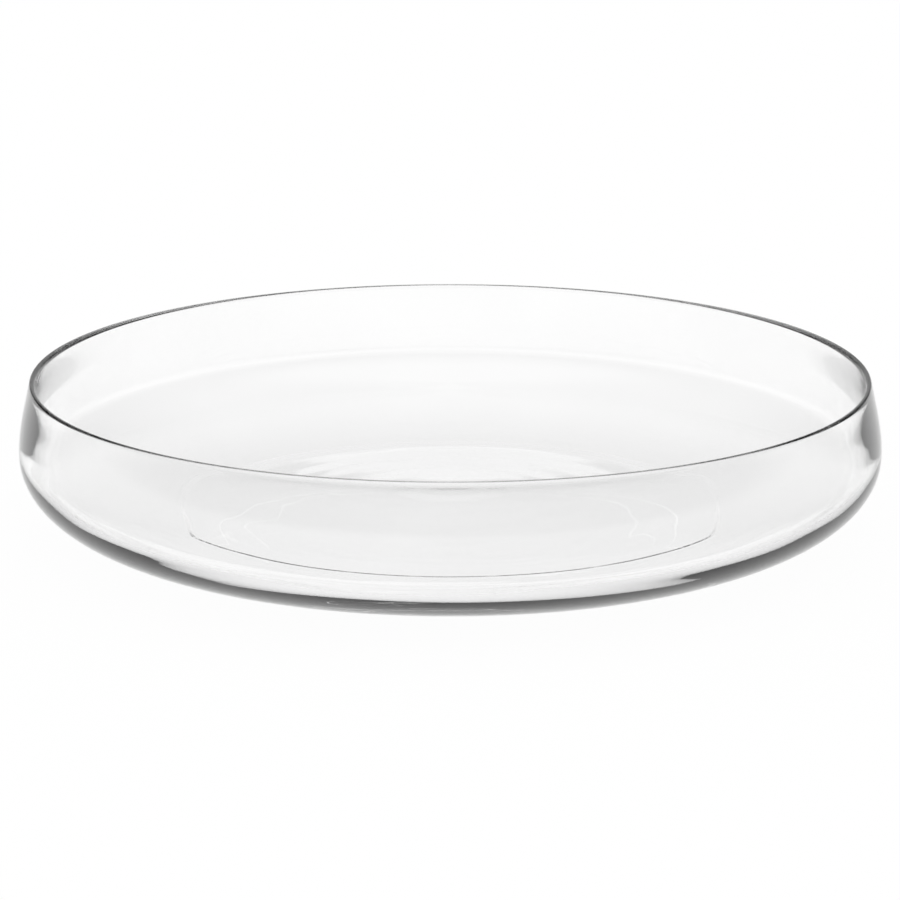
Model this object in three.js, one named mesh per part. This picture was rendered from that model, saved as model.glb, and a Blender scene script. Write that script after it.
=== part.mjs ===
// A wide shallow bowl of clear blown glass, in millimetres, +Z up.
// The origin is on the table at the middle of the ring that the bowl stands on.
// The whole bowl is one piece of glass, turned about the Z axis from one profile.

import * as THREE from 'three';

// Outside of the bowl
const HEIGHT = 55;
const WIDEST_DIAMETER = 300;
const WIDEST_LEVEL = 30;
const MOUTH_DIAMETER = 287.5;
const FOOT_RING_DIAMETER = 186;
const FOOT_RING_WIDTH = 4;
const SHOULDER_WIDTH = 4.8;
const SHOULDER_RISE = 0.4;
const KICK_DEPTH = 5.3;

// Inside of the bowl, whose ring is where the kick ends and the lower body begins
const BASE_THICKNESS = 5.2;
const SIDE_THICKNESS = 3.6;
const INNER_KICK_DEPTH = 6.9;
const INNER_RING_DIAMETER = 182;
const INNER_WIDEST_LEVEL = 30.2;

// Lip: its thickness, how far its top is from the inner side, and the height over which
// it is rounded on each side
const LIP_THICKNESS = 2.2;
const LIP_TOP = 1.3;
const LIP_INNER_ROUND = 1.8;
const LIP_OUTER_ROUND = 1;

// How the profile bends: the lean of the side where it meets the lip and the slope of
// the lower body where it leaves the base, in degrees, and how far each curve keeps
// its end's direction, as a share of its own run
const LIP_LEAN = 12;
const OUTER_BEND = { slope: 4, hold: 0.73, upright: 0.465, side: 0.33 };
const INNER_BEND = { slope: 2, hold: 0.66, upright: 0.53, side: 0.23 };
const KICK_CROWN = 0.19;
const KICK_SKIRT = 0.25;
const ROUND_HOLD = 0.5523;

// Fineness of the solid
const FACETS_ROUND = 72;
const STEPS_PER_CURVE = 7;
const STEPS_PER_HALF_LIP = 4;

const GLASS = { color: 0xf4f8f7, roughness: 0.02, metalness: 0, transparent: true, opacity: 0.35 };

// Ends of the two sides and the top of the lip between them
function lipPlace() {
  const mouth = MOUTH_DIAMETER / 2;
  const inner = new THREE.Vector2(mouth, HEIGHT - LIP_INNER_ROUND);
  const outer = new THREE.Vector2(mouth + LIP_THICKNESS, HEIGHT - LIP_OUTER_ROUND);
  const top = new THREE.Vector2(mouth + LIP_TOP, HEIGHT);
  return { inner, outer, top };
}

// Direction up along the side where it meets the lip
function lipDirection() {
  const lean = THREE.MathUtils.degToRad(LIP_LEAN);
  return new THREE.Vector2(-Math.sin(lean), Math.cos(lean));
}

// Handles of a curve between one end of the lip and a point of the widest line
function sideHandles(lipEnd, widest, bend) {
  const reach = bend.side * (lipEnd.y - widest.y);
  const nearLip = lipEnd.clone().addScaledVector(lipDirection(), -reach);
  const nearWidest = new THREE.Vector2(widest.x, widest.y + reach);
  return { nearLip, nearWidest };
}

// Handles of the rounding between one end of the lip and its top
function halfLipHandles(lipEnd, top) {
  const nearEnd = lipEnd.clone().addScaledVector(lipDirection(), ROUND_HOLD * (top.y - lipEnd.y));
  const nearTop = new THREE.Vector2(top.x + ROUND_HOLD * (lipEnd.x - top.x), top.y);
  return { nearEnd, nearTop };
}

// Handles of a curve between a point of the base and one of the widest line
function lowerHandles(base, widest, bend) {
  const hold = bend.hold * (widest.x - base.x);
  const slope = Math.tan(THREE.MathUtils.degToRad(bend.slope));
  const nearBase = new THREE.Vector2(base.x + hold, base.y + hold * slope);
  const nearWidest = new THREE.Vector2(widest.x, widest.y - bend.upright * (widest.y - base.y));
  return { nearBase, nearWidest };
}

// Handles of a curve between the axis and a ring, over the kick
function kickHandles(ring, depth) {
  const crown = new THREE.Vector2(KICK_CROWN * ring.x, ring.y + depth);
  const skirt = new THREE.Vector2(ring.x - KICK_SKIRT * ring.x, ring.y);
  return { crown, skirt };
}

// Handles of the rounded outer edge of the foot ring
function shoulderHandles(ring, shoulder) {
  const middle = (ring.x + shoulder.x) / 2;
  return { nearRing: new THREE.Vector2(middle, ring.y), nearTop: new THREE.Vector2(middle, shoulder.y) };
}

function curveTo(path, first, second, end) {
  path.bezierCurveTo(first.x, first.y, second.x, second.y, end.x, end.y);
}

// Underside of the kick, flat foot ring, its shoulder, lower body and side, up to the lip
function drawOutside(lip) {
  const ringInner = new THREE.Vector2(FOOT_RING_DIAMETER / 2 - FOOT_RING_WIDTH, 0);
  const ringOuter = new THREE.Vector2(FOOT_RING_DIAMETER / 2, 0);
  const shoulder = new THREE.Vector2(ringOuter.x + SHOULDER_WIDTH, SHOULDER_RISE);
  const widest = new THREE.Vector2(WIDEST_DIAMETER / 2, WIDEST_LEVEL);
  const kick = kickHandles(ringInner, KICK_DEPTH);
  const edge = shoulderHandles(ringOuter, shoulder);
  const lower = lowerHandles(shoulder, widest, OUTER_BEND);
  const side = sideHandles(lip.outer, widest, OUTER_BEND);
  const path = new THREE.Path();
  path.moveTo(0, KICK_DEPTH);
  curveTo(path, kick.crown, kick.skirt, ringInner);
  path.lineTo(ringOuter.x, ringOuter.y);
  curveTo(path, edge.nearRing, edge.nearTop, shoulder);
  curveTo(path, lower.nearBase, lower.nearWidest, widest);
  curveTo(path, side.nearWidest, side.nearLip, lip.outer);
  return path.getPoints(STEPS_PER_CURVE);
}

// Rounded lip, from the outer side up to its top and down to the inner side
function drawLip(lip) {
  const outer = halfLipHandles(lip.outer, lip.top);
  const inner = halfLipHandles(lip.inner, lip.top);
  const path = new THREE.Path();
  path.moveTo(lip.outer.x, lip.outer.y);
  curveTo(path, outer.nearEnd, outer.nearTop, lip.top);
  curveTo(path, inner.nearTop, inner.nearEnd, lip.inner);
  return path.getPoints(STEPS_PER_HALF_LIP).slice(1, -1);
}

// Inner side, inner lower body and the inside of the base, down to the axis
function drawInside(lip) {
  const widest = new THREE.Vector2(WIDEST_DIAMETER / 2 - SIDE_THICKNESS, INNER_WIDEST_LEVEL);
  const overRing = new THREE.Vector2(INNER_RING_DIAMETER / 2, BASE_THICKNESS);
  const side = sideHandles(lip.inner, widest, INNER_BEND);
  const lower = lowerHandles(overRing, widest, INNER_BEND);
  const kick = kickHandles(overRing, INNER_KICK_DEPTH);
  const path = new THREE.Path();
  path.moveTo(lip.inner.x, lip.inner.y);
  curveTo(path, side.nearLip, side.nearWidest, widest);
  curveTo(path, lower.nearWidest, lower.nearBase, overRing);
  curveTo(path, kick.skirt, kick.crown, new THREE.Vector2(0, BASE_THICKNESS + INNER_KICK_DEPTH));
  return path.getPoints(STEPS_PER_CURVE);
}

function bowlProfile() {
  const lip = lipPlace();
  return [...drawOutside(lip), ...drawLip(lip), ...drawInside(lip)];
}

function makeGlassBowl() {
  const geometry = new THREE.LatheGeometry(bowlProfile(), FACETS_ROUND);
  geometry.rotateX(Math.PI / 2);
  const bowl = new THREE.Mesh(geometry, new THREE.MeshStandardMaterial(GLASS));
  bowl.name = 'glass_bowl';
  return bowl;
}

const part = new THREE.Group();
part.add(makeGlassBowl());

export default part;
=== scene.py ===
# A wide shallow bowl of clear blown glass, standing on a plain pale floor.
# Lengths are in metres, and the bowl's axis is the Z axis.

import math

import bpy
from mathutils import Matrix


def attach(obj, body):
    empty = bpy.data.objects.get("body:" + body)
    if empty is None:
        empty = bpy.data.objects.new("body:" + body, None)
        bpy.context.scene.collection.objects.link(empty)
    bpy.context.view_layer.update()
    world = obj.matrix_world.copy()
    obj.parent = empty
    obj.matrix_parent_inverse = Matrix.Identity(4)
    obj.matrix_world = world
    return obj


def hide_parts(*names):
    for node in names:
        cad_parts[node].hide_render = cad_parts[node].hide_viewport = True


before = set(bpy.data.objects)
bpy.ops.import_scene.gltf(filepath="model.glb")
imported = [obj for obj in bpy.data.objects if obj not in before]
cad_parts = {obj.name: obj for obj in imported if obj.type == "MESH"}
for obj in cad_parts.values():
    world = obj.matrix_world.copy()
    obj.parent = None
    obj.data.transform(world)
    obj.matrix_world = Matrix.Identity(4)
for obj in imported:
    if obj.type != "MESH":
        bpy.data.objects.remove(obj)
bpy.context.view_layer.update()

MM = 0.001
TURN = 2 * math.pi
WHITE = (1, 1, 1, 1)

# Outside of the bowl
HEIGHT = 55 * MM
WIDEST_RADIUS = 150 * MM
WIDEST_LEVEL = 30 * MM
MOUTH_RADIUS = 143.75 * MM
FOOT_RADIUS = 93 * MM
FOOT_WIDTH = 4 * MM
SHOULDER_WIDTH = 4.8 * MM
SHOULDER_RISE = 0.4 * MM
KICK_DEPTH = 5.3 * MM

# Hollow ground in the middle of the underside, and the radii between which it ends
MARK_DEPTH = 0.4 * MM
MARK_EDGE = (12 * MM, 21 * MM)

# Inside of the bowl
BASE_THICKNESS = 5.2 * MM
SIDE_THICKNESS = 3.6 * MM
INNER_KICK_DEPTH = 6.9 * MM
INNER_RING_RADIUS = 91 * MM
INNER_WIDEST_LEVEL = 30.2 * MM

# Lip: its thickness, how far its top is from the inner side, and the height over which
# it is rounded on each side
LIP_THICKNESS = 2.2 * MM
LIP_TOP = 1.3 * MM
LIP_INNER_ROUND = 1.8 * MM
LIP_OUTER_ROUND = 1 * MM

# How the profile bends: directions in degrees, and how far each curve keeps its
# end's direction, as a share of its own run
LIP_LEAN = 12
OUTER_BEND = {"slope": 4, "hold": 0.73, "upright": 0.465, "side": 0.33}
INNER_BEND = {"slope": 2, "hold": 0.66, "upright": 0.53, "side": 0.23}
KICK_CROWN = 0.19
KICK_SKIRT = 0.25
ROUND_HOLD = 0.5523

# How far to each side of the inner ring its slight crease is rounded off
CREASE_REACH = 12 * MM

# Waves that blowing left in the inner side: their height, how many there are to the metre
# along the profile, how fast they change round the bowl, and where they fade away
# towards the lip and the axis
WAVE_HEIGHT = 0.4 * MM
WAVES_ALONG = 70
WAVES_ROUND = 1.2
WAVE_SEED = 4.0
WAVE_DETAIL = 1
WAVE_LEVELS = (40 * MM, 53 * MM)
WAVE_RADII = (15 * MM, 60 * MM)
NOISE_MIDDLE = 0.5

# Fineness of the glass: steps round the axis, rows of faces along each curve of the
# profile, points of a curve to a row, and how near points are when they become one
STEPS_ROUND = 288
ROWS = {"kick": 66, "foot": 4, "shoulder": 12, "lower": 60, "side": 28, "lip": 8}
POINTS_PER_ROW = 4
WELD = 0.002 * MM

# Glass: how strongly it bends light, the colour where it is most clouded, the roughness
# where it was wiped, and the height of its ripple
REFRACTION = 1.5
CLOUDED_COLOUR = (0.99, 0.99, 0.99, 1)
WIPE_ROUGHNESS = 0.01
RIPPLE_HEIGHT = 0.02 * MM

# Patterns in the glass: how many there are to the metre and how many finer layers each
# has, and the values of a pattern between which its finish sets in
CLOUDS = {"Scale": 22, "Detail": 2}
WIPES = {"Scale": 40, "Detail": 3}
RIPPLES = {"Scale": 30, "Detail": 1}
CLOUD_EDGE = (0.35, 0.65)
WIPE_EDGE = (0.5, 0.75)

# Camera of the photograph: its place, how many degrees it looks down, its lens and
# sensor in millimetres, its shift, and the nearest and farthest that it shows
CAMERA_PLACE = (0, -1.1831, 0.3395)
CAMERA_PITCH = 14.808
CAMERA_LENS = 139.73
CAMERA_SENSOR = 36
CAMERA_SHIFT = -0.0004
CAMERA_REACH = (0.05, 20)

# Floor, which is mostly plain white and for a small share shows the bowl's shadow
FLOOR_RADIUS = 3.0
FLOOR_CORNERS = 64
FLOOR_LEVEL = -0.2 * MM
FLOOR_COLOUR = (0.95, 0.95, 0.95, 1)
SHADOW_SHARE = 0.03

# Light that falls on the floor from all sides
ROOM_LIGHT = 1.05

# Studio that the glass shows: the light of its parts, and in degrees the levels and the
# turns from straight behind the bowl over which each part begins or ends
WALL_LIGHT = 0.02
WALL_LEVELS = (0, 4)
BACKDROP_LIGHT = 0.6
BACKDROP_TURNS = (6, 30)
CEILING_LIGHT = 0.25
CEILING_LEVELS = (28, 60)
LAMP_LIGHT = 0.65
LAMP_LEVELS = (15, 35)
LAMP_TURNS = (95, 145)

# How often light is followed from one side of the glass to another
BOUNCES = 32


class Value:
    """A socket that can be added, taken away, multiplied and divided in Python."""

    def __init__(self, tree, socket):
        self.tree = tree
        self.socket = socket

    def join(self, operation, other, swapped=False):
        pair = (other, self) if swapped else (self, other)
        return self.tree.node("ShaderNodeMath", {"operation": operation}, pair)

    def __add__(self, other):
        return self.join("ADD", other)

    def __radd__(self, other):
        return self.join("ADD", other, True)

    def __sub__(self, other):
        return self.join("SUBTRACT", other)

    def __rsub__(self, other):
        return self.join("SUBTRACT", other, True)

    def __mul__(self, other):
        return self.join("MULTIPLY", other)

    def __rmul__(self, other):
        return self.join("MULTIPLY", other, True)

    def __truediv__(self, other):
        return self.join("DIVIDE", other)

    def __rtruediv__(self, other):
        return self.join("DIVIDE", other, True)


class Tree:
    """A node tree whose nodes are added by type, settings and socket values."""

    def __init__(self, tree):
        self.nodes = tree.nodes
        self.links = tree.links

    def node(self, kind, settings=None, values=(), output=0):
        made = self.nodes.new(kind)
        for name, setting in (settings or {}).items():
            setattr(made, name, setting)
        pairs = values.items() if isinstance(values, dict) else enumerate(values)
        for key, value in pairs:
            if isinstance(value, Value):
                self.links.new(value.socket, made.inputs[key])
            else:
                made.inputs[key].default_value = value
        return Value(self, made.outputs[output]) if made.outputs else None

    def maths(self, operation, *values):
        return self.node("ShaderNodeMath", {"operation": operation}, values)

    def point(self, radius, level):
        """A point of the profile, which lies over the X axis."""
        return self.node("ShaderNodeCombineXYZ", values=(radius, 0, level))

    def outputs(self, value, names):
        """Several outputs of the node that a value comes from."""
        return [Value(self, value.socket.node.outputs[name]) for name in names]

    def parts(self, vector):
        """X, Y and Z of a vector."""
        return self.outputs(self.node("ShaderNodeSeparateXYZ", values=(vector,)), "XYZ")

    def distance(self, x, y):
        """How far from the Z axis a place is."""
        return self.maths("SQRT", x * x + y * y)


def bowl_sizes():
    """Named inputs of the bowl's tree."""
    return {
        "Height": HEIGHT,
        "Widest Radius": WIDEST_RADIUS,
        "Widest Level": WIDEST_LEVEL,
        "Mouth Radius": MOUTH_RADIUS,
        "Foot Radius": FOOT_RADIUS,
        "Foot Width": FOOT_WIDTH,
        "Shoulder Width": SHOULDER_WIDTH,
        "Shoulder Rise": SHOULDER_RISE,
        "Kick Depth": KICK_DEPTH,
        "Mark Depth": MARK_DEPTH,
        "Base Thickness": BASE_THICKNESS,
        "Side Thickness": SIDE_THICKNESS,
        "Inner Kick Depth": INNER_KICK_DEPTH,
        "Inner Ring Radius": INNER_RING_RADIUS,
        "Inner Widest Level": INNER_WIDEST_LEVEL,
        "Lip Thickness": LIP_THICKNESS,
        "Lip Top": LIP_TOP,
        "Lip Inner Round": LIP_INNER_ROUND,
        "Lip Outer Round": LIP_OUTER_ROUND,
        "Wave Height": WAVE_HEIGHT,
        "Waves Along": WAVES_ALONG,
        "Waves Round": WAVES_ROUND,
        "Wave Seed": WAVE_SEED,
    }


def make_bowl_tree():
    """Geometry Nodes that draw the bowl's profile and turn it about the axis."""
    group = bpy.data.node_groups.new("turned_bowl", "GeometryNodeTree")
    sizes = bowl_sizes()
    for name, size in sizes.items():
        made = group.interface.new_socket(name, in_out="INPUT", socket_type="NodeSocketFloat")
        made.default_value = size
    group.interface.new_socket("Glass", in_out="INPUT", socket_type="NodeSocketMaterial")
    group.interface.new_socket("Bowl", in_out="OUTPUT", socket_type="NodeSocketGeometry")

    tree = Tree(group)
    inputs = tree.node("NodeGroupInput")
    size = dict(zip(sizes, tree.outputs(inputs, sizes)))
    glass, = tree.outputs(inputs, ["Glass"])
    outside, inside = bowl_profile(tree, size)
    inner = weld(tree, [turn(tree, curve, rows) for curve, rows in inside])
    inner = tree.node("GeometryNodeFlipFaces", values={"Mesh": inner})
    inner = round_crease(tree, inner, size)
    shells = [turn(tree, curve, rows) for curve, rows in outside]
    shells[0] = add_mark(tree, shells[0], size)
    welded = weld(tree, shells + [add_waves(tree, inner, size)])
    smooth = tree.node("GeometryNodeSetShadeSmooth", values={"Geometry": welded})
    solid = tree.node("GeometryNodeRealizeInstances", values={"Geometry": smooth})
    glazed = tree.node("GeometryNodeSetMaterial", values={"Geometry": solid, "Material": glass})
    tree.node("NodeGroupOutput", values={"Bowl": glazed})
    return group


def bezier(tree, rows, start, near_start, near_end, end):
    """One curve of the profile, and its number of rows."""
    handles = {
        "Resolution": POINTS_PER_ROW * rows,
        "Start": tree.point(*start),
        "Start Handle": tree.point(*near_start),
        "End Handle": tree.point(*near_end),
        "End": tree.point(*end),
    }
    return tree.node("GeometryNodeCurvePrimitiveBezierSegment", values=handles), rows


def kick(tree, depth, foot, level):
    """The raised middle, from its crown out to the foot ring."""
    return bezier(tree, ROWS["kick"], (0, level + depth), (foot * KICK_CROWN, level + depth),
                  (foot * (1 - KICK_SKIRT), level), (foot, level))


def foot_ring(tree, inner, outer):
    """The flat ring that the bowl stands on."""
    ends = {"Start": tree.point(inner, 0), "End": tree.point(outer, 0)}
    return tree.node("GeometryNodeCurvePrimitiveLine", values=ends), ROWS["foot"]


def shoulder(tree, start, width, rise):
    """The rounded outer edge of the foot ring."""
    middle = start + width / 2
    return bezier(tree, ROWS["shoulder"], (start, 0), (middle, 0), (middle, rise),
                  (start + width, rise))


def lower_body(tree, bend, start, level, radius, top):
    """From the base out to the widest line."""
    hold = bend["hold"] * (radius - start)
    slope = math.tan(math.radians(bend["slope"]))
    upright = top - (top - level) * bend["upright"]
    return bezier(tree, ROWS["lower"], (start, level), (start + hold, level + hold * slope),
                  (radius, upright), (radius, top))


def side(tree, bend, radius, level, lip_radius, lip_level):
    """From the widest line up to the lip."""
    lean = math.radians(LIP_LEAN)
    reach = (lip_level - level) * bend["side"]
    near_lip = (lip_radius + reach * math.sin(lean), lip_level - reach * math.cos(lean))
    return bezier(tree, ROWS["side"], (radius, level), (radius, level + reach), near_lip,
                  (lip_radius, lip_level))


def half_lip(tree, start, top):
    """From one side of the lip to its top, rounded."""
    lean = math.radians(LIP_LEAN)
    reach = (top[1] - start[1]) * ROUND_HOLD
    near_start = (start[0] - reach * math.sin(lean), start[1] + reach * math.cos(lean))
    near_top = (top[0] + (start[0] - top[0]) * ROUND_HOLD, top[1])
    return bezier(tree, ROWS["lip"], start, near_start, near_top, top)


def bowl_profile(tree, size):
    """The profile's curves, each with its number of rows: outside with the lip, and inside."""
    foot = size["Foot Radius"]
    foot_inner = foot - size["Foot Width"]
    rise = size["Shoulder Rise"]
    widest = size["Widest Radius"]
    mouth = size["Mouth Radius"]
    height = size["Height"]
    top = (mouth + size["Lip Top"], height)
    outer_lip = (mouth + size["Lip Thickness"], height - size["Lip Outer Round"])
    inner_lip = (mouth, height - size["Lip Inner Round"])
    inner_widest = widest - size["Side Thickness"]
    base = size["Base Thickness"]
    outside = [
        kick(tree, size["Kick Depth"], foot_inner, 0),
        foot_ring(tree, foot_inner, foot),
        shoulder(tree, foot, size["Shoulder Width"], rise),
        lower_body(tree, OUTER_BEND, foot + size["Shoulder Width"], rise, widest,
                   size["Widest Level"]),
        side(tree, OUTER_BEND, widest, size["Widest Level"], *outer_lip),
        half_lip(tree, outer_lip, top),
    ]
    inside = [
        kick(tree, size["Inner Kick Depth"], size["Inner Ring Radius"], base),
        lower_body(tree, INNER_BEND, size["Inner Ring Radius"], base, inner_widest,
                   size["Inner Widest Level"]),
        side(tree, INNER_BEND, inner_widest, size["Inner Widest Level"], *inner_lip),
        half_lip(tree, inner_lip, top),
    ]
    return outside, inside


def turn(tree, curve, rows):
    """Turns one curve of the profile about the Z axis."""
    grid = tree.node("GeometryNodeMeshGrid",
                     values={"Vertices X": STEPS_ROUND + 1, "Vertices Y": rows + 1})
    index = tree.node("GeometryNodeInputIndex")
    along = tree.maths("MODULO", index, rows + 1) / rows
    angle = tree.maths("FLOOR", index / (rows + 1)) * (TURN / STEPS_ROUND)
    sample = tree.node("GeometryNodeSampleCurve", {"mode": "FACTOR"},
                       {"Curves": curve, "Factor": along}, "Position")
    radius, _, level = tree.parts(sample)
    place = tree.node("ShaderNodeCombineXYZ", values=(
        radius * tree.maths("COSINE", angle), radius * tree.maths("SINE", angle), level))
    return tree.node("GeometryNodeSetPosition", values={"Geometry": grid, "Position": place})


def weld(tree, shells):
    """Joins shells into one mesh and closes their seams and poles."""
    joined = tree.node("GeometryNodeJoinGeometry")
    for shell in shells:
        tree.links.new(shell.socket, joined.socket.node.inputs[0])
    return tree.node("GeometryNodeMergeByDistance", values={"Geometry": joined, "Distance": WELD})


def smooth_step(tree, value, limits):
    """Rises gently from 0 at the first limit to 1 at the second."""
    return tree.node("ShaderNodeMapRange", {"interpolation_type": "SMOOTHSTEP"},
                     {"Value": value, "From Min": limits[0], "From Max": limits[1]})


def radius_on_shell(tree):
    """How far from the axis each point of a shell is."""
    x, y, _ = tree.parts(tree.node("GeometryNodeInputPosition"))
    return tree.distance(x, y)


def lift(tree, shell, rise):
    """Moves each point of a shell up by its own rise."""
    return tree.node("GeometryNodeSetPosition",
                     values={"Geometry": shell, "Offset": tree.point(0, rise)})


def add_mark(tree, shell, size):
    """Hollows the middle of the underside, where the finished bowl was ground."""
    rise = (1 - smooth_step(tree, radius_on_shell(tree), MARK_EDGE)) * size["Mark Depth"]
    return lift(tree, shell, rise)


def round_crease(tree, shell, size):
    """Lifts the inner ring a little, so that the kick and the lower body meet there at
    half the lower body's slope, with no crease between them."""
    apart = tree.maths("ABSOLUTE", radius_on_shell(tree) - size["Inner Ring Radius"])
    near = tree.maths("MAXIMUM", 1 - apart / CREASE_REACH, 0)
    slope = math.tan(math.radians(INNER_BEND["slope"]))
    return lift(tree, shell, near * near * (slope * CREASE_REACH / 4))


def add_waves(tree, shell, size):
    """Moves the inner side in and out by slow waves, mostly rings round the axis."""
    x, y, level = tree.parts(tree.node("GeometryNodeInputPosition"))
    radius = tree.distance(x, y)
    spot = tree.node("ShaderNodeCombineXYZ", values=(
        x / radius * size["Waves Round"],
        y / radius * size["Waves Round"],
        (radius + level) * size["Waves Along"] + size["Wave Seed"]))
    wave = tree.node("ShaderNodeTexNoise", values={
        "Vector": spot, "Scale": 1, "Detail": WAVE_DETAIL})
    below_lip = 1 - smooth_step(tree, level, WAVE_LEVELS)
    off_axis = smooth_step(tree, radius, WAVE_RADII)
    height = (wave - NOISE_MIDDLE) * below_lip * off_axis * size["Wave Height"]
    offset = tree.node("ShaderNodeVectorMath", {"operation": "SCALE"}, {
        "Vector": tree.node("GeometryNodeInputNormal"), "Scale": height})
    return tree.node("GeometryNodeSetPosition", values={"Geometry": shell, "Offset": offset})


def empty_material(name):
    """A new material, and its tree with no nodes yet."""
    material = bpy.data.materials.new(name)
    material.use_nodes = True
    material.node_tree.nodes.clear()
    return material, Tree(material.node_tree)


def make_glass():
    """Clear glass, with faint clouds, wiped streaks and a very slight ripple."""
    material, tree = empty_material("clear_blown_glass")
    place = tree.node("ShaderNodeTexCoord", output="Object")

    def noise(pattern):
        return tree.node("ShaderNodeTexNoise", values={"Vector": place, **pattern})

    clouded = smooth_step(tree, noise(CLOUDS), CLOUD_EDGE)
    colour = tree.node("ShaderNodeMix", {"data_type": "RGBA"},
                       {0: clouded, 6: WHITE, 7: CLOUDED_COLOUR}, output=2)
    wiped = smooth_step(tree, noise(WIPES), WIPE_EDGE)
    ripple = tree.node("ShaderNodeBump", values={
        "Strength": 1, "Distance": RIPPLE_HEIGHT, "Height": noise(RIPPLES)})
    glass = tree.node("ShaderNodeBsdfPrincipled", values={
        "Base Color": colour,
        "Roughness": wiped * WIPE_ROUGHNESS,
        "IOR": REFRACTION,
        "Transmission Weight": 1,
        "Normal": ripple,
    })
    tree.node("ShaderNodeOutputMaterial", values={"Surface": glass})
    return material


def add_object(name, data):
    """A new object at the origin, in the scene."""
    made = bpy.data.objects.new(name, data)
    bpy.context.scene.collection.objects.link(made)
    return made


def make_bowl(glass):
    """The bowl as a plain mesh."""
    holder = add_object("bowl_rule", bpy.data.meshes.new("bowl_rule"))
    modifier = holder.modifiers.new("turned_bowl", "NODES")
    modifier.node_group = make_bowl_tree()
    for item in modifier.node_group.interface.items_tree:
        if item.name == "Glass":
            modifier[item.identifier] = glass
    graph = bpy.context.evaluated_depsgraph_get()
    mesh = bpy.data.meshes.new_from_object(holder.evaluated_get(graph))
    bpy.data.objects.remove(holder)
    return add_object("blown_bowl", mesh)


def seen_rays(tree):
    """1 on rays that show the background: from the camera, a reflection or through glass."""
    names = ("Is Camera Ray", "Is Glossy Ray", "Is Transmission Ray")
    camera, glossy, through = tree.outputs(tree.node("ShaderNodeLightPath"), names)
    return tree.maths("MINIMUM", camera + glossy + through, 1)


def make_floor_finish():
    """A pale floor that shows white, with the bowl's shadow on it."""
    material, tree = empty_material("pale_floor")
    lit = tree.node("ShaderNodeBsdfDiffuse", values={"Color": FLOOR_COLOUR})
    white = tree.node("ShaderNodeEmission", values={"Color": WHITE, "Strength": 1})
    plain = seen_rays(tree) * (1 - SHADOW_SHARE)
    shown = tree.node("ShaderNodeMixShader", values=(plain, lit, white))
    tree.node("ShaderNodeOutputMaterial", values={"Surface": shown})
    return material


def make_floor():
    """A round floor just below the bowl's foot ring."""
    turns = [TURN * corner / FLOOR_CORNERS for corner in range(FLOOR_CORNERS)]
    ring = [(FLOOR_RADIUS * math.cos(angle), FLOOR_RADIUS * math.sin(angle), FLOOR_LEVEL)
            for angle in turns]
    mesh = bpy.data.meshes.new("floor")
    mesh.from_pydata(ring, [], [range(FLOOR_CORNERS)])
    mesh.materials.append(make_floor_finish())
    add_object("floor", mesh)


def make_world():
    """White at the horizon, and above it what the glass shows of the studio: dark walls,
    a paler backdrop behind the bowl, a dim ceiling and a soft lamp on the camera's side."""
    world = bpy.data.worlds.new("studio")
    bpy.context.scene.world = world
    world.use_nodes = True
    world.node_tree.nodes.clear()
    tree = Tree(world.node_tree)
    across, back, up = tree.parts(tree.node("ShaderNodeTexCoord", output="Generated"))
    behind = back / tree.distance(across, back)

    def above(levels):
        return smooth_step(tree, up, [math.sin(math.radians(level)) for level in levels])

    def beyond(turns):
        return smooth_step(tree, behind, [math.cos(math.radians(turn)) for turn in turns])

    backdrop = 1 - beyond(BACKDROP_TURNS)
    ceiling = above(CEILING_LEVELS) * (1 - backdrop)
    lamp = above(LAMP_LEVELS) * beyond(LAMP_TURNS)
    studio = WALL_LIGHT + backdrop * (BACKDROP_LIGHT - WALL_LIGHT)
    studio = studio + ceiling * CEILING_LIGHT * (1 - lamp) + lamp * LAMP_LIGHT
    camera, = tree.outputs(tree.node("ShaderNodeLightPath"), ["Is Camera Ray"])
    seen = seen_rays(tree)
    walls = (1 - camera) * above(WALL_LEVELS)
    shown = (1 - walls) + walls * studio
    strength = seen * shown + (1 - seen) * ROOM_LIGHT
    light = tree.node("ShaderNodeBackground", values={"Color": WHITE, "Strength": strength})
    tree.node("ShaderNodeOutputWorld", values={"Surface": light})


def follow_light():
    """Follows light through the glass until hardly any is left."""
    paths = bpy.context.scene.cycles
    paths.max_bounces = BOUNCES
    paths.glossy_bounces = BOUNCES
    paths.transmission_bounces = BOUNCES


def make_camera():
    """The camera of the photograph, looking down along +Y."""
    data = bpy.data.cameras.new("photo_camera")
    data.lens = CAMERA_LENS
    data.sensor_width = CAMERA_SENSOR
    data.shift_x = CAMERA_SHIFT
    data.clip_start, data.clip_end = CAMERA_REACH
    camera = add_object("photo_camera", data)
    camera.location = CAMERA_PLACE
    camera.rotation_euler = (math.radians(90 - CAMERA_PITCH), 0, 0)
    bpy.context.scene.camera = camera


make_camera()
make_world()
make_floor()
follow_light()
bowl = make_bowl(make_glass())
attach(bowl, "root")
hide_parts("glass_bowl")
bpy.context.scene.view_settings.view_transform = "Standard"
